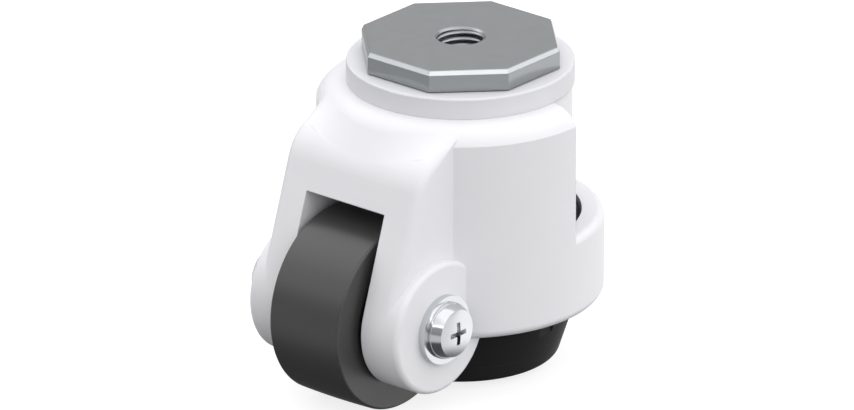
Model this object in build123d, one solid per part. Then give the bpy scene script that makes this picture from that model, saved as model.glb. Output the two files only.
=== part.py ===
from build123d import *
import math
import os

# Levelling castor. All sizes are in millimetres. While the pieces are modelled, heights count
# from the floor and the swivel axis is the Z axis; write_part then moves every piece so that the
# origin is the mouth of the fixing thread. X runs along the axle, the wheel stands towards -Y.

# --- driving dimensions: wheel and axle -----------------------------------------------------
wheel_diameter = 50.0
wheel_width = 22.8
wheel_crown = 0.25
wheel_edge_radius = 0.65
wheel_rim_thickness = 8.5
wheel_web_recess = 2.2
wheel_hub_diameter = 21.0
wheel_axis_gap = 11.8
screw_diameter = 8.0
screw_head_diameter = 12.4
screw_head_height = 3.6
screw_head_dome = 0.4
screw_tip_chamfer = 0.8
recess_span = 7.4
recess_width = 1.8
recess_depth = 2.2
axle_washer_diameter = 18.0
axle_washer_thickness = 1.8
axle_nut_across_flats = 13.0
axle_nut_height = 6.5
screw_overhang = 1.0
sleeve_wall = 2.0
bush_wall = 2.0
bush_flange_width = 2.5
bush_flange_thickness = 1.2
bush_length = 8.0

# --- driving dimensions: housing ------------------------------------------------------------
drum_radius = 36.8
shoulder_run = 7.2
shoulder_drop = 4.6
drum_bottom_fillet = 2.3
skirt_drop = 6.5
ledge_drop = 9.5
ledge_fillet = 1.9
window_height = 10.9
crown_height = 24.5
neck_radius = 28.6
rear_cut_y = 2.0
skirt_wall = 5.8
key_width = 4.0
key_depth = 2.2
key_margin = 2.0
fork_width = 44.8
fork_top_drop = 4.7
fork_brow_radius = 12.8
fork_edge_fillet = 2.8
front_slope = 18.4
lobe_radius = 17.5
pad_height = 2.5
pad_fillet = 1.4
pocket_width = 26.0
pocket_rise = 4.0
pocket_depth = 17.0
pocket_corner = 3.0
brow_blend_depth = 4.0
brow_flat_shares = (0.35, 0.7, 1.0)
brow_roll_angles = (15, 30, 45, 60, 72, 84)
spot_face_margin = 0.5

# --- driving dimensions: swivel head and its bearing ------------------------------------------
head_across_flats = 49.0
flange_height = 5.6
flange_chamfer_in = 0.6
flange_chamfer_drop = 1.2
fixing_thread_diameter = 12.0
thread_depth = 16.0
countersink_diameter = 13.0
cover_diameter = 58.4
cover_height = 5.6
cover_skirt_wall = 3.2
cover_edge_radius = 0.5
hub_diameter = 32.0
hub_height = 3.3
king_pin_diameter = 18.0
king_thread_diameter = 14.0
king_bush_wall = 2.5
king_bush_length = 6.0
king_washer_diameter = 26.0
king_washer_thickness = 1.2
king_nut_across_flats = 22.0
king_nut_height = 3.6
king_nut_overhang = 0.3
ball_count = 12
ball_diameter = 5.0
ball_pitch_radius = 19.0
race_height = 4.0
race_half_gap = 1.2
race_radial_width = 9.0
cage_thickness = 1.6
cage_width = 5.4
seal_width = 1.75
seal_height = 1.8

# --- driving dimensions: levelling spindle and foot -------------------------------------------
spindle_thread_diameter = 14.0
spindle_end_height = 8.0
spindle_end_chamfer = 1.0
collar_across_flats = 24.0
collar_height = 8.4
collar_chamfer = 1.0
journal_diameter = 12.0
spindle_bush_diameter = 30.0
spindle_bush_height = 3.6
thrust_washer_thickness = 0.6
thrust_washer_diameter = 26.0
circlip_thickness = 0.9
circlip_groove_depth = 0.7
circlip_width = 2.2
circlip_gap_angle = 50.0
foot_ground_gap = 1.9
sole_radius = 25.0
sole_height = 5.0
sole_edge_radius = 2.5
foot_flare = 18.0
foot_top_gap = 0.3
foot_top_chamfer = 0.8
insert_diameter = 18.0
insert_flange_diameter = 21.0
insert_flange_height = 1.4
insert_length = 15.0
foot_well_floor = 4.6
arch_clearance = 1.2

# --- clearances -------------------------------------------------------------------------------
running = 0.05
turning_gap = 0.3
loose = 0.6
assembly = 0.02
blend_sink = 0.01
touch_tolerance = 1e-12
key_clearance = 0.35

# --- levels and radii that follow from the driving dimensions ---------------------------------
wheel_radius = wheel_diameter / 2
swivel_offset = wheel_radius + wheel_axis_gap
axle_z = wheel_radius
skirt_bottom = axle_z - skirt_drop
ledge_z = wheel_diameter - ledge_drop
ceiling_z = ledge_z + window_height
deck_z = ceiling_z + crown_height
cover_top = deck_z + cover_height
flange_bottom = cover_top + turning_gap
head_top = flange_bottom + flange_height
hub_bottom = flange_bottom - hub_height
ball_z = hub_bottom - race_height - race_half_gap
race_seat_z = ball_z - race_half_gap - race_height
shoulder_z = race_seat_z - king_bush_length
king_washer_bottom = shoulder_z - turning_gap - king_washer_thickness
king_nut_bottom = king_washer_bottom - king_nut_height
bush_top = ceiling_z + spindle_bush_height
circlip_z = bush_top + running
journal_top = circlip_z + circlip_thickness + circlip_groove_depth
collar_top = ceiling_z - thrust_washer_thickness - turning_gap
collar_bottom = collar_top - collar_height
foot_top = ledge_z - foot_top_gap

bore_radius = drum_radius - skirt_wall
foot_radius = bore_radius - loose
fork_top = deck_z - fork_top_drop
pad_x = fork_width / 2 + pad_height
pocket_top = ceiling_z + pocket_rise
race_outer = ball_pitch_radius + race_radial_width / 2 + running
race_inner = ball_pitch_radius - race_radial_width / 2
king_pin_radius = king_pin_diameter / 2
king_bush_outer = king_pin_radius + king_bush_wall
nut_chamber_radius = king_washer_diameter / 2 + loose
sleeve_inner = screw_diameter / 2 + running
sleeve_outer = sleeve_inner + sleeve_wall
wheel_bush_inner = sleeve_outer + running
wheel_bush_outer = wheel_bush_inner + bush_wall
seal_inner = hub_diameter / 2 + running
seal_outer = seal_inner + seal_width

slope = math.radians(front_slope)
lobe_front_y = swivel_offset + math.cos(slope) * lobe_radius
lobe_front_z = axle_z + math.sin(slope) * lobe_radius
brow_corner_y = lobe_front_y - (fork_top - lobe_front_z) * math.tan(slope)
brow_reach = fork_brow_radius * math.tan((math.pi / 2 - slope) / 2)
brow_centre_y = brow_corner_y - brow_reach
brow_centre_z = fork_top - fork_brow_radius
shoulder_radius = (shoulder_run ** 2 + shoulder_drop ** 2) / (2 * shoulder_drop)
shoulder_centre = drum_radius - shoulder_run
shoulder_break = math.acos(shoulder_run / shoulder_radius)
shoulder_level = math.pi / 2 - math.radians(1)


def tube(outer_radius, inner_radius, low, high):
    """Upright ring about the swivel axis between two heights."""
    height = high - low
    ring = Cylinder(outer_radius, height) - Cylinder(inner_radius, height)
    return Pos(0, 0, (low + high) / 2) * ring


def upright(radius, low, high):
    """Upright cylinder about the swivel axis between two heights."""
    return Pos(0, 0, (low + high) / 2) * Cylinder(radius, high - low)


def along_axle(radius, x_start, x_end):
    """Cylinder about the axle between two places along it."""
    turned = Rot(0, 90, 0) * Cylinder(radius, abs(x_end - x_start))
    return Pos((x_start + x_end) / 2, -swivel_offset, axle_z) * turned


def axle_ring(outer_radius, inner_radius, x_start, x_end):
    """Ring about the axle between two places along it."""
    return along_axle(outer_radius, x_start, x_end) - along_axle(inner_radius, x_start, x_end)


def block(x_size, y_low, y_high, z_low, z_high):
    """Block that is centred across the castor."""
    centre = Pos(0, (y_low + y_high) / 2, (z_low + z_high) / 2)
    return centre * Box(x_size, y_high - y_low, z_high - z_low)


def side_profile_x(face, half_width):
    """Extrude a side view, drawn as (forward, height), across the castor to both sides."""
    plane = Plane(origin=(half_width, 0, 0), x_dir=(0, -1, 0), z_dir=(-1, 0, 0))
    return extrude(plane * face, amount=2 * half_width)


# --- swivel head --------------------------------------------------------------------------------

def make_swivel_head():
    """Octagonal flange, bearing hub and king pin, turned from one steel bar."""
    octagon = RegularPolygon(head_across_flats / 2, 8, major_radius=False, rotation=22.5)
    prism_height = flange_height - flange_chamfer_drop
    prism = Pos(0, 0, flange_bottom) * extrude(octagon, amount=prism_height)
    chamfer_angle = math.degrees(math.atan2(flange_chamfer_in, flange_chamfer_drop))
    crown = extrude(octagon, amount=flange_chamfer_drop, taper=chamfer_angle)
    crown = Pos(0, 0, head_top - flange_chamfer_drop) * crown
    hub = upright(hub_diameter / 2, hub_bottom, flange_bottom)
    pin = upright(king_pin_radius, king_washer_bottom + king_washer_thickness, hub_bottom)
    stud = upright(king_thread_diameter / 2, king_nut_bottom - king_nut_overhang, hub_bottom)
    stud = chamfer(stud.edges().group_by(Axis.Z)[0], king_nut_overhang)
    thread_radius = fixing_thread_diameter / 2
    mouth = (countersink_diameter - fixing_thread_diameter) / 2
    hole = upright(thread_radius, head_top - thread_depth, head_top)
    drill_point = Pos(0, 0, head_top - thread_depth - thread_radius / 4) * Cone(
        thread_radius / 6, thread_radius, thread_radius / 2)
    countersink = Pos(0, 0, head_top - mouth / 2) * Cone(
        thread_radius, countersink_diameter / 2, mouth)
    return prism + crown + hub + pin + stud - hole - drill_point - countersink


def make_cover_ring():
    """Dust cover pressed on the deck: a rim and a lid that close the bearing up to the hub."""
    outer = cover_diameter / 2
    cap = upright(outer, deck_z, cover_top)
    cap = fillet(cap.edges().group_by(Axis.Z)[-1], cover_edge_radius)
    cap -= upright(outer - cover_skirt_wall, deck_z, hub_bottom + turning_gap)
    cap -= upright(hub_diameter / 2 + turning_gap, deck_z, cover_top)
    return cap - upright(seal_outer, cover_top - seal_height, cover_top)


def make_race(low, high, groove_clearance, outer, inner):
    """Bearing ring with a ball groove in the face that looks at the balls."""
    groove = Torus(ball_pitch_radius, ball_diameter / 2 + groove_clearance)
    return tube(outer, inner, low, high) - Pos(0, 0, ball_z) * groove


def make_ball_cage():
    """Flat ring with one hole for each ball."""
    cage = tube(ball_pitch_radius + cage_width / 2, ball_pitch_radius - cage_width / 2,
                ball_z - cage_thickness / 2, ball_z + cage_thickness / 2)
    for place in PolarLocations(ball_pitch_radius, ball_count):
        cage -= Pos(0, 0, ball_z) * place * Cylinder(ball_diameter / 2 + running, 2 * cage_thickness)
    return cage


def make_ball(index):
    """One ball of the swivel bearing."""
    place = PolarLocations(ball_pitch_radius, ball_count).locations[index]
    return Pos(0, 0, ball_z) * place * Sphere(ball_diameter / 2)


def make_king_nut():
    """Hexagon nut with chamfered corners on the end of the king pin."""
    hexagon = RegularPolygon(king_nut_across_flats / 2, 6, major_radius=False)
    nut = Pos(0, 0, king_nut_bottom) * extrude(hexagon, amount=king_nut_height)
    return nut - upright(king_thread_diameter / 2 + assembly, king_nut_bottom, king_washer_bottom)


# --- housing ------------------------------------------------------------------------------------

def fork_side_view():
    """Side view of a fork leg: flat top, rounded brow, sloping front and a round lobe."""
    lobe_front = (lobe_front_y, lobe_front_z)
    lobe_bottom = (swivel_offset, axle_z - lobe_radius)
    lobe_back = (swivel_offset - lobe_radius, axle_z)
    brow_start = (brow_centre_y, fork_top)
    brow_end = (brow_corner_y + brow_reach * math.sin(slope), fork_top - brow_reach * math.cos(slope))
    outline = Polyline(lobe_back, (lobe_back[0], fork_top), brow_start)
    outline += RadiusArc(brow_start, brow_end, fork_brow_radius)
    outline += Line(brow_end, lobe_front)
    outline += RadiusArc(lobe_front, lobe_bottom, lobe_radius)
    outline += RadiusArc(lobe_bottom, lobe_back, lobe_radius)
    return make_face(outline)


def make_fork():
    """Both fork legs and the front wall as one block, with rounded outer edges and axle pads."""
    half = fork_width / 2
    fork = side_profile_x(fork_side_view(), half)
    sides = fork.faces().filter_by(Axis.X)
    fork = fillet(sides.edges(), fork_edge_fillet)
    for side in (-1, 1):
        pad = along_axle(lobe_radius, side * (half - fork_edge_fillet), side * pad_x)
        rim = pad.edges().filter_by(GeomType.CIRCLE).sort_by(Axis.X)
        fork += fillet(rim[-1] if side > 0 else rim[0], pad_fillet)
    return fork


def make_drum():
    """Round outer body: plain wall, a crisp line at its top and a domed shoulder up to the deck."""
    deck_edge = (shoulder_centre, deck_z)
    wall_top = (drum_radius, deck_z - shoulder_drop)
    outline = TangentArc(deck_edge, wall_top, tangent=(1, 0))
    outline += Polyline(wall_top, (drum_radius, skirt_bottom), (0, skirt_bottom), (0, deck_z), deck_edge)
    drum = revolve(Plane.XZ * make_face(outline), Axis.Z)
    rims = drum.edges().filter_by(GeomType.CIRCLE).sort_by(Axis.Z)
    return fillet(rims[0], drum_bottom_fillet)


def shoulder_point(turn, x):
    """Point of the domed shoulder in the plane at x, as forward, height and lean of its normal."""
    radius = shoulder_centre + shoulder_radius * math.cos(turn)
    forward = math.sqrt(radius ** 2 - x ** 2)
    height = deck_z - shoulder_radius * (1 - math.sin(turn))
    return forward, height, math.atan2(math.sin(turn) * radius, math.cos(turn) * forward)


def brow_section(x, edge_drop):
    """Strip at x whose outer line rests on both the shoulder and the fork's brow.

    The line is found by halving: it lies on the shoulder at every turn, and at one turn it also
    touches the brow's arc, which has shrunk by edge_drop where the fork's edge is rounded.
    """
    brow_radius = fork_brow_radius - edge_drop
    flat, steep = shoulder_break, shoulder_level
    while steep - flat > touch_tolerance:
        turn = (flat + steep) / 2
        forward, height, lean = shoulder_point(turn, x)
        across, up = math.cos(lean), math.sin(lean)
        rise = (forward - brow_centre_y) * across + (height - brow_centre_z) * up - brow_radius
        flat, steep = (turn, steep) if rise < 0 else (flat, turn)
    inner = brow_blend_depth
    strip = Polyline((forward - blend_sink * across, height - blend_sink * up),
                     (brow_centre_y + (brow_radius - blend_sink) * across,
                      brow_centre_z + (brow_radius - blend_sink) * up),
                     (brow_centre_y + (brow_radius - inner) * across,
                      brow_centre_z + (brow_radius - inner) * up),
                     (forward - inner * across, height - inner * up), close=True)
    plane = Plane(origin=(x, 0, 0), x_dir=(0, -1, 0), z_dir=(-1, 0, 0))
    return plane * make_face(strip)


def make_brow():
    """Smooth blend from the domed shoulder down to the fork's brow, lofted across the fork.

    Its edges roll over with the fork's own edge radius, and it touches both forms it joins.
    """
    flat_half = fork_width / 2 - fork_edge_fillet
    right = [(share * flat_half, 0.0) for share in brow_flat_shares]
    for roll in brow_roll_angles:
        angle = math.radians(roll)
        right.append((flat_half + fork_edge_fillet * math.sin(angle),
                      fork_edge_fillet * (1 - math.cos(angle))))
    left = [(-x, edge_drop) for x, edge_drop in reversed(right)]
    return loft([brow_section(x, edge_drop) for x, edge_drop in left + [(0.0, 0.0)] + right])


def make_housing():
    """Moulded housing: drum, skirt, fork, wheel pocket, spanner window and bearing seats."""
    body = make_drum() + make_fork() + make_brow()
    far = 2 * drum_radius
    rear = block(2 * far, rear_cut_y, far, ledge_z, deck_z)
    body -= rear - upright(neck_radius, ledge_z, deck_z)
    ledge_edge = body.edges().filter_by(GeomType.CIRCLE).filter_by_position(
        Axis.Z, ledge_z - assembly, ledge_z + assembly)
    ledge_edge = ledge_edge.sort_by(SortBy.RADIUS)[-1]
    body = fillet(ledge_edge, ledge_fillet)
    body -= upright(bore_radius, 0, ceiling_z)
    body -= block(2 * far, rear_cut_y, far, ledge_z, ceiling_z)
    body -= block(pocket_width, -far, 0, 0, ceiling_z)
    headroom = block(pocket_width, -far, -(swivel_offset - pocket_depth), ceiling_z, pocket_top)
    inner_edge = headroom.edges().filter_by(Axis.X).group_by(Axis.Z)[-1].sort_by(Axis.Y)[-1]
    body -= fillet(inner_edge, pocket_corner)
    body -= upright(race_outer, race_seat_z, deck_z)
    body -= upright(king_bush_outer, shoulder_z, race_seat_z)
    body -= upright(nut_chamber_radius, bush_top, shoulder_z)
    body -= upright(spindle_bush_diameter / 2, ceiling_z, bush_top)
    body -= along_axle(screw_diameter / 2 + running, -pad_x, pad_x)
    spot_face = axle_washer_diameter / 2 + spot_face_margin
    for side in (-1, 1):
        body -= along_axle(spot_face, side * pad_x, side * far)
    key_low = skirt_bottom + key_margin
    key_high = ledge_z - key_margin
    for side in (-1, 1):
        key_centre = side * (bore_radius + skirt_wall / 2 - (key_depth + skirt_wall / 2) / 2)
        key = Pos(key_centre, 0, (key_low + key_high) / 2) * Box(
            key_depth + skirt_wall / 2, key_width, key_high - key_low)
        body += key
    return body


# --- axle, wheel ---------------------------------------------------------------------------------

def about_axle(face):
    """Turn a half section, drawn as (along the axle, radius), about the axle."""
    profile = Plane(origin=(0, -swivel_offset, axle_z), x_dir=(1, 0, 0), z_dir=(0, -1, 0)) * face
    return revolve(profile, Axis((0, -swivel_offset, axle_z), (1, 0, 0)))


def make_axle_screw():
    """Domed head screw that clamps the fork, the sleeve and the washers."""
    head_start = pad_x + axle_washer_thickness
    head_end = head_start + screw_head_height
    head_radius = screw_head_diameter / 2
    shank_radius = screw_diameter / 2
    tip = -(pad_x + axle_washer_thickness + axle_nut_height + screw_overhang)
    dome_radius = (head_radius ** 2 + screw_head_dome ** 2) / (2 * screw_head_dome)
    outline = Polyline((head_end + screw_head_dome, 0), (tip, 0), (tip, shank_radius - screw_tip_chamfer),
                       (tip + screw_tip_chamfer, shank_radius), (head_start, shank_radius),
                       (head_start, head_radius), (head_end, head_radius))
    outline += RadiusArc((head_end, head_radius), (head_end + screw_head_dome, 0), dome_radius)
    screw = about_axle(make_face(outline))
    arm = Box(2 * recess_depth, recess_span, recess_width)
    recess = arm + Rot(90, 0, 0) * arm
    return screw - Pos(head_end + screw_head_dome, -swivel_offset, axle_z) * recess


def make_axle_nut():
    """Hexagon nut on the far end of the axle screw."""
    start = -(pad_x + axle_washer_thickness)
    plane = Plane(origin=(start, -swivel_offset, axle_z), x_dir=(0, 1, 0), z_dir=(-1, 0, 0))
    hexagon = RegularPolygon(axle_nut_across_flats / 2, 6, major_radius=False)
    nut = extrude(plane * hexagon, amount=axle_nut_height)
    corner_radius = axle_nut_across_flats / 2 / math.cos(math.pi / 6)
    rounding = Pos(start - axle_nut_height / 2, -swivel_offset, axle_z) * (
        Rot(0, -90, 0) * chamfer(Cylinder(corner_radius, axle_nut_height).edges().group_by(Axis.Z)[-1],
                                 corner_radius - axle_nut_across_flats / 2))
    nut = nut & rounding
    return nut - along_axle(screw_diameter / 2 + assembly, start, start - axle_nut_height)


def make_wheel():
    """One-piece wheel: crowned tread, rim, recessed web and hub."""
    half = wheel_width / 2
    rim_inner = wheel_radius - wheel_rim_thickness
    hub_outer = wheel_hub_diameter / 2
    web = half - wheel_web_recess
    tread = ThreePointArc((half, wheel_radius - wheel_crown), (0, wheel_radius),
                          (-half, wheel_radius - wheel_crown))
    outline = tread + Polyline((-half, wheel_radius - wheel_crown), (-half, rim_inner),
                               (-web, rim_inner - wheel_web_recess / 2),
                               (-web, hub_outer + wheel_web_recess / 2), (-half, hub_outer),
                               (-half, wheel_bush_outer), (half, wheel_bush_outer),
                               (half, hub_outer), (web, hub_outer + wheel_web_recess / 2),
                               (web, rim_inner - wheel_web_recess / 2), (half, rim_inner),
                               (half, wheel_radius - wheel_crown))
    face = make_face(outline)
    corners = face.vertices().group_by(Axis.Y)[-1]
    face = fillet(corners, wheel_edge_radius)
    return about_axle(face)


def make_wheel_bush(side):
    """Flanged plain bearing in one end of the hub."""
    end = side * wheel_width / 2
    flange_radius = wheel_bush_outer + bush_flange_width
    bush = axle_ring(wheel_bush_outer - assembly, wheel_bush_inner, end - side * bush_length, end)
    return bush + axle_ring(flange_radius, wheel_bush_inner, end, end + side * bush_flange_thickness)


# --- levelling spindle and foot --------------------------------------------------------------------

def make_spindle():
    """Levelling spindle: threaded shaft, hexagon collar and a journal with a circlip groove."""
    shaft = upright(spindle_thread_diameter / 2, spindle_end_height, collar_bottom)
    shaft = chamfer(shaft.edges().group_by(Axis.Z)[0], spindle_end_chamfer)
    hexagon = RegularPolygon(collar_across_flats / 2, 6, major_radius=False)
    collar = Pos(0, 0, collar_bottom) * extrude(hexagon, amount=collar_height)
    corner_radius = collar_across_flats / 2 / math.cos(math.pi / 6)
    turned = Pos(0, 0, collar_bottom + collar_height / 2) * chamfer(
        Cylinder(corner_radius, collar_height).edges().filter_by(GeomType.CIRCLE), collar_chamfer)
    journal = upright(journal_diameter / 2, collar_top, journal_top)
    groove = tube(journal_diameter / 2, journal_diameter / 2 - circlip_groove_depth,
                  circlip_z, circlip_z + circlip_thickness)
    return shaft + (collar & turned) + journal - groove


def make_circlip():
    """Open retaining ring in the journal's groove."""
    inner = journal_diameter / 2 - circlip_groove_depth + assembly
    ring = tube(inner + circlip_width, inner, circlip_z, circlip_z + circlip_thickness)
    reach = inner + circlip_width
    mouth_width = 2 * reach * math.sin(math.radians(circlip_gap_angle / 2))
    return ring - block(mouth_width, 0, 2 * reach, circlip_z, circlip_z + circlip_thickness)


def wheel_arch():
    """Straight-sided slot that the foot leaves for the wheel over the whole levelling travel."""
    slot_width = wheel_width + 2 * arch_clearance
    back = -(swivel_offset - wheel_radius - arch_clearance)
    return block(slot_width, back - wheel_diameter, back, 0, foot_top + arch_clearance)


def foot_radius_at(height):
    """Outer radius of the flared foot at a height above the floor."""
    flare = math.tan(math.radians(foot_flare))
    return min(sole_radius + (height - foot_ground_gap) * flare, foot_radius)


def make_foot_body():
    """Foot moulding: flared pad, round guide, key grooves, wheel arch and spindle well."""
    pad_low = foot_ground_gap + sole_height
    flare = math.tan(math.radians(foot_flare))
    flare_top = foot_ground_gap + (foot_radius - sole_radius) / flare
    outline = Polyline((0, pad_low), (foot_radius_at(pad_low), pad_low), (foot_radius, flare_top),
                       (foot_radius, foot_top - foot_top_chamfer),
                       (foot_radius - foot_top_chamfer, foot_top), (0, foot_top), (0, pad_low))
    body = revolve(Plane.XZ * make_face(outline), Axis.Z)
    body -= upright(insert_diameter / 2, foot_top - insert_length, foot_top)
    body -= upright(insert_flange_diameter / 2, foot_top - insert_flange_height, foot_top)
    well_floor = foot_ground_gap + foot_well_floor
    body -= upright(spindle_thread_diameter / 2 + loose, max(well_floor, pad_low), foot_top)
    body -= wheel_arch()
    groove_reach = key_depth + key_clearance
    for side in (-1, 1):
        centre = side * (bore_radius - groove_reach / 2)
        body -= Pos(centre, 0, (pad_low + foot_top) / 2) * Box(
            groove_reach, key_width + 2 * key_clearance, foot_top - pad_low)
    return body


def make_foot_insert():
    """Threaded insert moulded into the foot, with a flange at its mouth."""
    outer = insert_diameter / 2 - assembly
    flange = insert_flange_diameter / 2 - assembly
    insert = upright(outer, foot_top - insert_length, foot_top)
    insert += upright(flange, foot_top - insert_flange_height + assembly, foot_top)
    insert -= wheel_arch()
    return insert - upright(spindle_thread_diameter / 2 + running, foot_top - insert_length, foot_top)


def make_foot_sole():
    """Flared rubber sole with a rounded lower edge."""
    pad_low = foot_ground_gap + sole_height
    outline = Polyline((0, foot_ground_gap), (sole_radius, foot_ground_gap),
                       (foot_radius_at(pad_low), pad_low), (0, pad_low), (0, foot_ground_gap))
    sole = revolve(Plane.XZ * make_face(outline), Axis.Z)
    sole = fillet(sole.edges().filter_by(GeomType.CIRCLE).sort_by(Axis.Z)[0], sole_edge_radius)
    return sole - wheel_arch()


def make_parts():
    """Every piece of the castor, by node name."""
    half_pocket = pocket_width / 2
    washer_end = pad_x + axle_washer_thickness
    washer_radius = axle_washer_diameter / 2
    screw_hole = screw_diameter / 2 + running
    parts = {
        "swivel_head": make_swivel_head(),
        "cover_ring": make_cover_ring(),
        "upper_race": make_race(ball_z + race_half_gap, hub_bottom, running,
                                race_outer - loose, king_pin_radius + assembly),
        "lower_race": make_race(race_seat_z, ball_z - race_half_gap, turning_gap,
                                race_outer - assembly, race_inner),
        "ball_cage": make_ball_cage(),
        "king_bush": tube(king_bush_outer - assembly, king_pin_radius + running,
                          shoulder_z, race_seat_z),
        "king_washer": tube(king_washer_diameter / 2, king_thread_diameter / 2 + assembly,
                            king_washer_bottom, king_washer_bottom + king_washer_thickness),
        "king_nut": make_king_nut(),
        "seal_ring": tube(seal_outer - assembly, seal_inner, cover_top - seal_height, cover_top),
        "housing": make_housing(),
        "spindle_bush": tube(spindle_bush_diameter / 2 - assembly, journal_diameter / 2 + running,
                             ceiling_z, bush_top),
        "thrust_washer": tube(thrust_washer_diameter / 2, journal_diameter / 2 + running,
                              ceiling_z - thrust_washer_thickness, ceiling_z),
        "spindle": make_spindle(),
        "circlip": make_circlip(),
        "foot_body": make_foot_body(),
        "foot_insert": make_foot_insert(),
        "foot_sole": make_foot_sole(),
        "wheel": make_wheel(),
        "wheel_bush_right": make_wheel_bush(1),
        "wheel_bush_left": make_wheel_bush(-1),
        "axle_sleeve": axle_ring(sleeve_outer, sleeve_inner, -half_pocket, half_pocket),
        "axle_screw": make_axle_screw(),
        "axle_washer_right": axle_ring(washer_radius, screw_hole, pad_x, washer_end),
        "axle_washer_left": axle_ring(washer_radius, screw_hole, -washer_end, -pad_x),
        "axle_nut": make_axle_nut(),
    }
    for index in range(ball_count):
        parts[f"swivel_ball_{index + 1:02d}"] = make_ball(index)
    return parts


def write_part():
    """Move each piece to the part's own frame and write its STEP file."""
    os.makedirs("parts", exist_ok=True)
    to_origin = Pos(0, 0, -head_top)
    for node, solid in make_parts().items():
        export_step(to_origin * solid, f"parts/{node}.step")


write_part()
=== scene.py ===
import math

import bmesh
import bpy
from mathutils import Matrix, Vector


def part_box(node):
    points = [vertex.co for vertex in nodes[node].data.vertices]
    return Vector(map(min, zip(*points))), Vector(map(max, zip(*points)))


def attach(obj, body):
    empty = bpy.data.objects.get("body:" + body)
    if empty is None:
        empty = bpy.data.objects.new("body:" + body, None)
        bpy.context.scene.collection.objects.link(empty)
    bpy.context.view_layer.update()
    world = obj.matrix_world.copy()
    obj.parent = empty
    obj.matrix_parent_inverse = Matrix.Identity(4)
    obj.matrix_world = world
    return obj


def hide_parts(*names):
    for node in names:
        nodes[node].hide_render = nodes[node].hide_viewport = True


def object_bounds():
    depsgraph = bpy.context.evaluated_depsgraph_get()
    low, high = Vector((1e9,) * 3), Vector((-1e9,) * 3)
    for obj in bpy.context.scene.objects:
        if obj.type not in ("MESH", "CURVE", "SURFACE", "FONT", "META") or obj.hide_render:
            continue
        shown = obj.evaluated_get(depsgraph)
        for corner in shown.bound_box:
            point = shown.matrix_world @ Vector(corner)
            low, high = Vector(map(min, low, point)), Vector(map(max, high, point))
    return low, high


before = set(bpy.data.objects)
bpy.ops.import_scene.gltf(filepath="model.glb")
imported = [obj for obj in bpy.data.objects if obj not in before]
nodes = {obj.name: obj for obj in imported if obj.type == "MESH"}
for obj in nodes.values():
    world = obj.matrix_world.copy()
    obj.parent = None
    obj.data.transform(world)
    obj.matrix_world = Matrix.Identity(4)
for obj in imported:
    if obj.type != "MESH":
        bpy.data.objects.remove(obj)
cad_box = [list(corner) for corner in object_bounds()]
low, high = [Vector(corner) for corner in cad_box]


# ----------------------------------------------------------------------------------------------
# Camera: a very long lens, so that the castor shows almost without perspective. It looks down
# at the castor from the right of the wheel.

scene = bpy.context.scene
camera_azimuth = math.radians(40.35)
camera_lift = math.radians(21.8)
lens = 700.0
sensor = 36.0
far_clip = 100.0
frame_width = 0.21905
aim_right = -0.00854
aim_up = 0.03809
to_camera = Vector((math.sin(camera_azimuth) * math.cos(camera_lift),
                    -math.cos(camera_azimuth) * math.cos(camera_lift), math.sin(camera_lift)))
across = Vector((math.cos(camera_azimuth), math.sin(camera_azimuth), 0))
upward = to_camera.cross(across)
aim = Vector((0, 0, low.z)) + aim_right * across + aim_up * upward
camera_data = bpy.data.cameras.new("camera")
camera_data.lens = lens
camera_data.sensor_width = sensor
camera_data.clip_end = far_clip
camera = bpy.data.objects.new("camera", camera_data)
camera.location = aim + to_camera * frame_width * lens / sensor
camera.rotation_euler = to_camera.to_track_quat("Z", "Y").to_euler()
scene.collection.objects.link(camera)
scene.camera = camera


# ----------------------------------------------------------------------------------------------
# Studio: a plain pale floor under the wheel inside a white room with soft lamps. A tilted strip
# lamp in front gives the steel its bright edges, and the horizon is dark.

def add_math(tree, operation, *values):
    """Math node on numbers or sockets."""
    step = tree.nodes.new("ShaderNodeMath")
    step.operation = operation
    for socket, value in zip(step.inputs, values):
        if isinstance(value, (int, float)):
            socket.default_value = value
        else:
            tree.links.new(value, socket)
    return step.outputs["Value"]


def add_ramp(tree, value, start, end, from_value=0.0, to_value=1.0):
    """Smooth change from one value to another while a socket goes from start to end."""
    ramp = tree.nodes.new("ShaderNodeMapRange")
    ramp.interpolation_type = "SMOOTHSTEP"
    limits = {"From Min": start, "From Max": end, "To Min": from_value, "To Max": to_value}
    for label, number in limits.items():
        ramp.inputs[label].default_value = number
    tree.links.new(value, ramp.inputs["Value"])
    return ramp.outputs["Result"]


def add_blend(tree, share, first, second):
    """Value between first and second, each a number or a socket."""
    blend = tree.nodes.new("ShaderNodeMix")
    tree.links.new(share, blend.inputs["Factor"])
    for socket, value in ((blend.inputs["A"], first), (blend.inputs["B"], second)):
        if isinstance(value, (int, float)):
            socket.default_value = value
        else:
            tree.links.new(value, socket)
    return blend.outputs["Result"]


def add_quarters(tree, ahead, right, front_left, front_right, back_left, back_right):
    """Value that differs by quarter of the room, as the camera sees the castor."""
    front = add_blend(tree, right, front_left, front_right)
    back = add_blend(tree, right, back_left, back_right)
    return add_blend(tree, ahead, back, front)


scene.view_settings.view_transform = "Standard"
room = bpy.data.worlds.new("white_room")
scene.world = room
room.use_nodes = True
tree = room.node_tree
outlook = tree.nodes.new("ShaderNodeTexCoord")
split = tree.nodes.new("ShaderNodeSeparateXYZ")
tree.links.new(outlook.outputs["Generated"], split.inputs["Vector"])
east, north, height = (split.outputs[axis] for axis in ("X", "Y", "Z"))
toward = add_math(tree, "SUBTRACT", add_math(tree, "MULTIPLY", east, math.sin(camera_azimuth)),
                  add_math(tree, "MULTIPLY", north, math.cos(camera_azimuth)))
sideways = add_math(tree, "ADD", add_math(tree, "MULTIPLY", east, math.cos(camera_azimuth)),
                    add_math(tree, "MULTIPLY", north, math.sin(camera_azimuth)))
depth_blend = 0.25
side_blend = 0.3
ahead = add_ramp(tree, toward, -depth_blend, depth_blend)
right = add_ramp(tree, sideways, -side_blend, side_blend)

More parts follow.
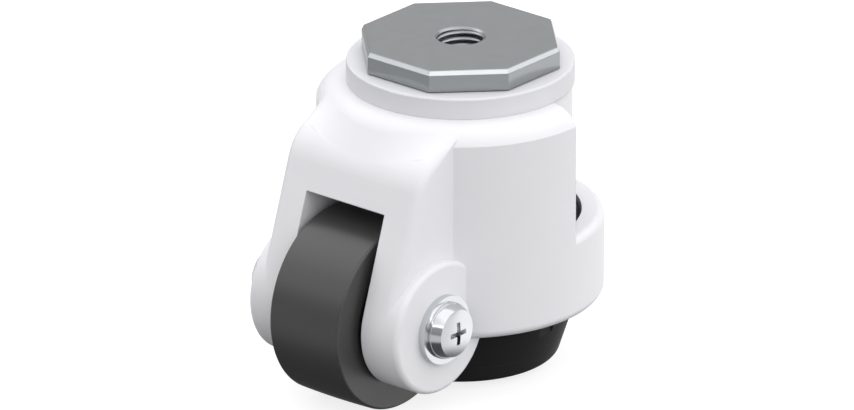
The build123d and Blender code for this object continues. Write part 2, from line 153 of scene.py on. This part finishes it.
# Strength of each band, and the sines of the heights over which it takes over from the last.
# The depths are a share of the table's strength.
depths_share = 0.13
table_strength = add_quarters(tree, ahead, right, front_left=0.68, front_right=0.95,
                              back_left=0.65, back_right=1.3)
table_rise = (-0.62, -0.45)
horizon_strength = 0.3
horizon_rise = (-0.12, -0.04)
wall_strength = add_quarters(tree, ahead, right, front_left=0.36, front_right=1.1,
                             back_left=0.7, back_right=0.7)
wall_rise = (0.04, 0.14)
lamp_strength = add_quarters(tree, ahead, right, front_left=1.1, front_right=1.85,
                             back_left=2.05, back_right=1.65)
lamp_rise = (0.35, 0.65)
ceiling_strength = 1.4
ceiling_rise = (0.8, 0.95)
below = add_math(tree, "MULTIPLY", table_strength,
                 add_ramp(tree, height, *table_rise, depths_share, 1.0))
above = add_blend(tree, add_ramp(tree, height, *lamp_rise), wall_strength, lamp_strength)
above = add_blend(tree, add_ramp(tree, height, *ceiling_rise), above, ceiling_strength)
strength = add_blend(tree, add_ramp(tree, height, *horizon_rise), below, horizon_strength)
strength = add_blend(tree, add_ramp(tree, height, *wall_rise), strength, above)

strip_strength = 2.2
strip_tilt = 0.25
strip_lower_edge = (0.24, 0.28)
strip_upper_edge = (0.38, 0.34)
strip_ends = (-0.7, -0.4)
tilted = add_math(tree, "SUBTRACT", height, add_math(tree, "MULTIPLY", toward, strip_tilt))
strip = add_math(tree, "MULTIPLY", add_ramp(tree, tilted, *strip_lower_edge),
                 add_ramp(tree, tilted, *strip_upper_edge))
strip = add_math(tree, "MULTIPLY", strip, add_ramp(tree, toward, *strip_ends, 0.0, strip_strength))
strength = add_math(tree, "ADD", strength, strip)
background = tree.nodes["Background"]
background.inputs["Color"].default_value = (1, 1, 1, 1)
tree.links.new(strength, background.inputs["Strength"])

floor_size = 6.0
floor_grey = 0.3
floor_roughness = 0.9
floor_gloss = 0.1
floor_glow = 0.8
bpy.ops.mesh.primitive_plane_add(size=floor_size, location=(0, 0, low.z))
floor = bpy.context.object
floor.name = "floor"
floor.visible_glossy = False
floor.visible_diffuse = False
floor.visible_shadow = False
floor_paint = bpy.data.materials.new("pale_floor")
floor_paint.use_nodes = True
floor_shader = floor_paint.node_tree.nodes["Principled BSDF"]
floor_shader.inputs["Base Color"].default_value = (floor_grey, floor_grey, floor_grey, 1)
floor_shader.inputs["Roughness"].default_value = floor_roughness
floor_shader.inputs["Specular IOR Level"].default_value = floor_gloss
floor_shader.inputs["Emission Color"].default_value = (1, 1, 1, 1)
floor_shader.inputs["Emission Strength"].default_value = floor_glow
floor.data.materials.append(floor_paint)


# ----------------------------------------------------------------------------------------------
# Swivel head: octagonal flange and king pin, turned and milled from one steel bar. Its zinc
# plating is smooth and slightly cloudy, with faint marks, and so is that of the other plain
# steel pieces.

def add_noise(tree, place, scale, detail):
    """Noise on the piece's own coordinates."""
    noise = tree.nodes.new("ShaderNodeTexNoise")
    noise.inputs["Scale"].default_value = scale
    noise.inputs["Detail"].default_value = detail
    tree.links.new(place.outputs["Object"], noise.inputs["Vector"])
    return noise.outputs["Fac"]


def set_drift(tree, share, shader, colour, colour_drift, roughness, gloss_drift):
    """Colour and roughness that drift a little to both sides of their mean with a noise."""
    tint = tree.nodes.new("ShaderNodeMix")
    tint.data_type = "RGBA"
    for label, factor in (("A", 1 - colour_drift), ("B", 1 + colour_drift)):
        tint.inputs[label].default_value = tuple(min(c * factor, 1) for c in colour) + (1,)
    tree.links.new(share, tint.inputs["Factor"])
    tree.links.new(tint.outputs["Result"], shader.inputs["Base Color"])
    gloss = tree.nodes.new("ShaderNodeMapRange")
    gloss.inputs["To Min"].default_value = roughness * (1 - gloss_drift)
    gloss.inputs["To Max"].default_value = roughness * (1 + gloss_drift)
    tree.links.new(share, gloss.inputs["Value"])
    tree.links.new(gloss.outputs["Result"], shader.inputs["Roughness"])


def set_relief(tree, relief, shader, depth, strength, soft_edge):
    """Fine relief as bump, on edges that look rounded where soft_edge isn't zero."""
    bump = tree.nodes.new("ShaderNodeBump")
    bump.inputs["Distance"].default_value = depth
    bump.inputs["Strength"].default_value = strength
    tree.links.new(relief, bump.inputs["Height"])
    edge_samples = 6
    if soft_edge:
        edges = tree.nodes.new("ShaderNodeBevel")
        edges.samples = edge_samples
        edges.inputs["Radius"].default_value = soft_edge
        tree.links.new(edges.outputs["Normal"], bump.inputs["Normal"])
    tree.links.new(bump.outputs["Normal"], shader.inputs["Normal"])


def plated_steel(name, colour, roughness, cloud_scale, mark_depth, soft_edge=0.0):
    """Metal with cloudy plating and fine marks from its making."""
    material = bpy.data.materials.new(name)
    material.use_nodes = True
    tree = material.node_tree
    shader = tree.nodes["Principled BSDF"]
    shader.inputs["Metallic"].default_value = 1.0
    place = tree.nodes.new("ShaderNodeTexCoord")
    marks_per_cloud = 14
    clouds = add_noise(tree, place, scale=cloud_scale, detail=4.0)
    marks = add_noise(tree, place, scale=cloud_scale * marks_per_cloud, detail=2.0)
    set_drift(tree, clouds, shader, colour=colour, colour_drift=0.04,
              roughness=roughness, gloss_drift=0.15)
    set_relief(tree, marks, shader, depth=mark_depth, strength=0.3, soft_edge=soft_edge)
    return material


def finish_node(name, material):
    """Give a solid from the frame its material."""
    mesh = nodes[name].data
    mesh.materials.clear()
    mesh.materials.append(material)


zinc_plate = plated_steel("zinc_plate", colour=(0.32, 0.335, 0.345), roughness=0.18,
                          cloud_scale=220.0, mark_depth=0.00001, soft_edge=0.0003)
for name in ("swivel_head", "king_washer", "king_nut", "spindle", "thrust_washer", "axle_sleeve"):
    finish_node(name, zinc_plate)


# ----------------------------------------------------------------------------------------------
# Fixing thread: the cut metric thread in the head's hole, a triangular ridge that winds down
# the wall. It is part of the head's steel.

def thread_tree():
    """Geometry Nodes tree of a helical ridge with named sizes."""
    tree = bpy.data.node_groups.new("thread_ridge", "GeometryNodeTree")
    tree.is_modifier = True
    sizes = {}
    for label in ("Wall Radius", "Ridge Height", "Pitch", "Turns", "Top", "Embed"):
        sizes[label] = tree.interface.new_socket(label, in_out="INPUT", socket_type="NodeSocketFloat")
    steel = tree.interface.new_socket("Steel", in_out="INPUT", socket_type="NodeSocketMaterial")
    tree.interface.new_socket("Geometry", in_out="OUTPUT", socket_type="NodeSocketGeometry")
    given = tree.nodes.new("NodeGroupInput")
    result = tree.nodes.new("NodeGroupOutput")

    points_per_turn = 48
    height = add_math(tree, "MULTIPLY", given.outputs["Pitch"], given.outputs["Turns"])
    helix = tree.nodes.new("GeometryNodeCurveSpiral")
    helix.inputs["Resolution"].default_value = points_per_turn
    helix.inputs["Reverse"].default_value = False
    tree.links.new(given.outputs["Turns"], helix.inputs["Rotations"])
    tree.links.new(given.outputs["Wall Radius"], helix.inputs["Start Radius"])
    tree.links.new(given.outputs["Wall Radius"], helix.inputs["End Radius"])
    tree.links.new(height, helix.inputs["Height"])
    upright = tree.nodes.new("GeometryNodeSetCurveNormal")
    upright.mode = "Z_UP"
    tree.links.new(helix.outputs["Curve"], upright.inputs["Curve"])

    base_share = 0.46
    crest_share = 0.07
    ridge = tree.nodes.new("GeometryNodeCurvePrimitiveQuadrilateral")
    ridge.mode = "POINTS"
    half_base = add_math(tree, "MULTIPLY", given.outputs["Pitch"], base_share)
    half_crest = add_math(tree, "MULTIPLY", given.outputs["Pitch"], crest_share)
    inward = add_math(tree, "MULTIPLY", given.outputs["Ridge Height"], -1.0)
    corners = ((given.outputs["Embed"], half_base, 1.0), (given.outputs["Embed"], half_base, -1.0),
               (inward, half_crest, -1.0), (inward, half_crest, 1.0))
    for index, (out, half, sign) in enumerate(corners):
        corner = tree.nodes.new("ShaderNodeCombineXYZ")
        tree.links.new(out, corner.inputs["X"])
        tree.links.new(add_math(tree, "MULTIPLY", half, sign), corner.inputs["Y"])
        tree.links.new(corner.outputs["Vector"], ridge.inputs[f"Point {index + 1}"])
    sweep = tree.nodes.new("GeometryNodeCurveToMesh")
    sweep.inputs["Fill Caps"].default_value = True
    tree.links.new(upright.outputs["Curve"], sweep.inputs["Curve"])
    tree.links.new(ridge.outputs["Curve"], sweep.inputs["Profile Curve"])

    drop = tree.nodes.new("ShaderNodeCombineXYZ")
    tree.links.new(add_math(tree, "SUBTRACT", given.outputs["Top"], height), drop.inputs["Z"])
    place = tree.nodes.new("GeometryNodeTransform")
    tree.links.new(sweep.outputs["Mesh"], place.inputs["Geometry"])
    tree.links.new(drop.outputs["Vector"], place.inputs["Translation"])
    real = tree.nodes.new("GeometryNodeRealizeInstances")
    tree.links.new(place.outputs["Geometry"], real.inputs["Geometry"])
    finish = tree.nodes.new("GeometryNodeSetMaterial")
    tree.links.new(real.outputs["Geometry"], finish.inputs["Geometry"])
    tree.links.new(given.outputs["Steel"], finish.inputs["Material"])
    tree.links.new(finish.outputs["Geometry"], result.inputs["Geometry"])
    return tree, sizes, steel


def evaluated_mesh(carrier):
    """Plain mesh of an object with its modifiers applied."""
    bpy.context.view_layer.update()
    evaluated = carrier.evaluated_get(bpy.context.evaluated_depsgraph_get())
    return bpy.data.meshes.new_from_object(evaluated)


def wind_thread(name, values, material):
    """Plain mesh object of a thread made by the thread tree."""
    tree, sizes, steel = thread_tree()
    carrier = bpy.data.objects.new(name + "_carrier", bpy.data.meshes.new(name + "_carrier"))
    scene.collection.objects.link(carrier)
    modifier = carrier.modifiers.new("thread", "NODES")
    modifier.node_group = tree
    for label, value in values.items():
        modifier[sizes[label].identifier] = value
    modifier[steel.identifier] = material
    piece = bpy.data.objects.new(name, evaluated_mesh(carrier))
    bpy.data.objects.remove(carrier)
    scene.collection.objects.link(piece)
    return piece


thread_start_depth = 0.0010
fixing_thread = wind_thread("fixing_thread", {
    "Wall Radius": 0.006, "Ridge Height": 0.0009, "Pitch": 0.00175, "Turns": 8.0,
    "Top": high.z - thread_start_depth, "Embed": 0.0001}, zinc_plate)
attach(fixing_thread, "head")


# ----------------------------------------------------------------------------------------------
# Bearing parts: hardened rings and balls, a bronze cage and bronze plain bushes. They are sealed
# in the castor and have a ground or cast finish.

ground_steel = plated_steel("ground_steel", colour=(0.5, 0.5, 0.51), roughness=0.2,
                            cloud_scale=400.0, mark_depth=0.00001)
bearing_bronze = plated_steel("bearing_bronze", colour=(0.45, 0.29, 0.14), roughness=0.35,
                              cloud_scale=300.0, mark_depth=0.00002)
for name in nodes:
    if name.endswith("_race") or name.startswith("swivel_ball") or name == "circlip":
        finish_node(name, ground_steel)
for name in ("ball_cage", "king_bush", "spindle_bush", "foot_insert", "wheel_bush_right", "wheel_bush_left"):
    finish_node(name, bearing_bronze)


# ----------------------------------------------------------------------------------------------
# Housing and cover ring: injection moulded in white glass-filled nylon with a fine even grain.
# The ring is a second moulding pressed on the housing's deck, coloured darker as painted shade.

def moulded_plastic(name, colour, roughness, grain_scale, grain_depth, specular, soft_edge):
    """Plastic with faint flow clouds, a fine grain and soft edges."""
    material = bpy.data.materials.new(name)
    material.use_nodes = True
    tree = material.node_tree
    shader = tree.nodes["Principled BSDF"]
    shader.inputs["Specular IOR Level"].default_value = specular
    place = tree.nodes.new("ShaderNodeTexCoord")
    flow = add_noise(tree, place, scale=90.0, detail=3.0)
    grain = add_noise(tree, place, scale=grain_scale, detail=2.0)
    set_drift(tree, flow, shader, colour=colour, colour_drift=0.02,
              roughness=roughness, gloss_drift=0.08)
    set_relief(tree, grain, shader, depth=grain_depth, strength=0.35, soft_edge=soft_edge)
    return material


white_grain = {"roughness": 0.42, "grain_scale": 2600.0, "grain_depth": 0.00003,
               "specular": 0.4, "soft_edge": 0.0003}
white_nylon = moulded_plastic("white_nylon", colour=(0.74, 0.74, 0.765), **white_grain)
# The ring's colour is painted shade: darker than the housing to stand in for the shade under the head's
# flange.
ring_painted_shade_nylon = moulded_plastic("ring_painted_shade_nylon", colour=(0.66, 0.66, 0.685), **white_grain)
finish_node("housing", white_nylon)
finish_node("cover_ring", ring_painted_shade_nylon)


# ----------------------------------------------------------------------------------------------
# Wheel: moulded in one piece in dark grey nylon, satin on the tread and the sides. It runs on
# two bronze bushes between the legs of the fork.

wheel_nylon = moulded_plastic("wheel_nylon", colour=(0.034, 0.034, 0.035), roughness=0.4,
                              grain_scale=3000.0, grain_depth=0.00002, specular=0.7, soft_edge=0.0003)
finish_node("wheel", wheel_nylon)


# ----------------------------------------------------------------------------------------------
# Foot: a black nylon moulding with a rubber sole, which slides down inside the housing. The
# black rubber seal under the head has the sole's finish.

black_grain = {"roughness": 0.6, "grain_scale": 2400.0, "grain_depth": 0.00003,
               "specular": 0.3, "soft_edge": 0.0003}
foot_nylon = moulded_plastic("foot_nylon", colour=(0.006, 0.006, 0.0065), **black_grain)
foot_rubber = moulded_plastic("foot_rubber", colour=(0.006, 0.006, 0.006), **black_grain)
finish_node("foot_body", foot_nylon)
finish_node("foot_sole", foot_rubber)
finish_node("seal_ring", foot_rubber)


# ----------------------------------------------------------------------------------------------
# Axle screw: turned from steel, with a tapered head, a domed face and a cross recess, and
# polished and plated. The washers and the nut on the far end have the same plating.

bright_plate = plated_steel("bright_plate", colour=(0.66, 0.67, 0.69), roughness=0.14,
                            cloud_scale=260.0, mark_depth=0.00001)
for name in ("axle_screw", "axle_washer_right", "axle_washer_left", "axle_nut"):
    finish_node(name, bright_plate)

screw_low, screw_high = [Vector(corner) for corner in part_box("axle_screw")]
axle_y = (screw_low.y + screw_high.y) / 2
axle_z = (screw_low.z + screw_high.z) / 2


def turned_about_axle(name, outline, steps):
    """Closed mesh of an outline, given as places along the axle and radii, turned about it."""
    merge_distance = 1e-6
    shape = bmesh.new()
    corners = [shape.verts.new((along, axle_y, axle_z + radius)) for along, radius in outline]
    edges = [shape.edges.new(pair) for pair in zip(corners, corners[1:])]
    bmesh.ops.spin(shape, geom=corners + edges, cent=(0, axle_y, axle_z), axis=(1, 0, 0),
                   angle=2 * math.pi, steps=steps, use_merge=True)
    bmesh.ops.remove_doubles(shape, verts=shape.verts, dist=merge_distance)
    bmesh.ops.recalc_face_normals(shape, faces=shape.faces)
    mesh = bpy.data.meshes.new(name)
    shape.to_mesh(mesh)
    shape.free()
    piece = bpy.data.objects.new(name, mesh)
    scene.collection.objects.link(piece)
    return piece


def cross_cutter(name, face_x, span, width, depth, narrowing):
    """Cross of two tapered blades that sinks into the screw's face."""
    shape = bmesh.new()
    for turn in (0, 90):
        blade = bmesh.ops.create_cube(shape, size=1.0)["verts"]
        for vert in blade:
            deep = vert.co.x < 0
            half_span = span / 2 * (narrowing if deep else 1.0)
            vert.co = Vector((face_x + (-depth if deep else depth),
                              math.copysign(half_span, vert.co.y), math.copysign(width / 2, vert.co.z)))
        quarter = Matrix.Rotation(math.radians(turn), 3, "X")
        bmesh.ops.rotate(shape, verts=blade, cent=(0, 0, 0), matrix=quarter)
        bmesh.ops.translate(shape, verts=blade, vec=(0, axle_y, axle_z))
    mesh = bpy.data.meshes.new(name)
    shape.to_mesh(mesh)
    shape.free()
    cutter = bpy.data.objects.new(name, mesh)
    scene.collection.objects.link(cutter)
    return cutter


shank_radius = 0.004
tip_chamfer = 0.0008
head_base_radius = 0.0074
head_face_radius = (screw_high.y - screw_low.y) / 2
rim_break = 0.0002
rim_height = 0.0006
face_break = 0.00012
dome_height = 0.0007
taper_bulge = 1.3
taper_steps = 6
dome_steps = 10
turned_steps = 96
head_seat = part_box("axle_washer_right")[1][0]
taper_start = head_seat + rim_height
taper_end = screw_high.x - dome_height
dome_radius = (head_face_radius ** 2 + dome_height ** 2) / (2 * dome_height)
outline = [(screw_low.x, 0), (screw_low.x, shank_radius - tip_chamfer),
           (screw_low.x + tip_chamfer, shank_radius), (head_seat, shank_radius),
           (head_seat, head_base_radius - rim_break), (head_seat + rim_break, head_base_radius),
           (taper_start, head_base_radius)]
for step in range(1, taper_steps + 1):
    share = step / taper_steps
    outline.append((taper_start + share * (taper_end - taper_start),
                    head_base_radius + (head_face_radius - head_base_radius) * share ** taper_bulge))
for step in range(dome_steps + 1):
    radius = (head_face_radius - face_break) * (1 - step / dome_steps)
    outline.append((screw_high.x - dome_radius + math.sqrt(dome_radius ** 2 - radius ** 2), radius))

axle_screw = turned_about_axle("axle_screw_turned", outline, turned_steps)
cutter = cross_cutter("cross_cutter", screw_high.x, span=0.0086, width=0.0013,
                      depth=0.0026, narrowing=0.45)
recess = axle_screw.modifiers.new("recess", "BOOLEAN")
recess.operation = "DIFFERENCE"
recess.solver = "EXACT"
recess.use_self = True
recess.object = cutter
finished = evaluated_mesh(axle_screw)
axle_screw.modifiers.clear()
axle_screw.data = finished
bpy.data.objects.remove(cutter)
sharp_angle = math.radians(28)
for polygon in finished.polygons:
    polygon.use_smooth = True
finished.set_sharp_from_angle(angle=sharp_angle)
finished.materials.clear()
finished.materials.append(bright_plate)
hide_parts("axle_screw")
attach(axle_screw, "housing")
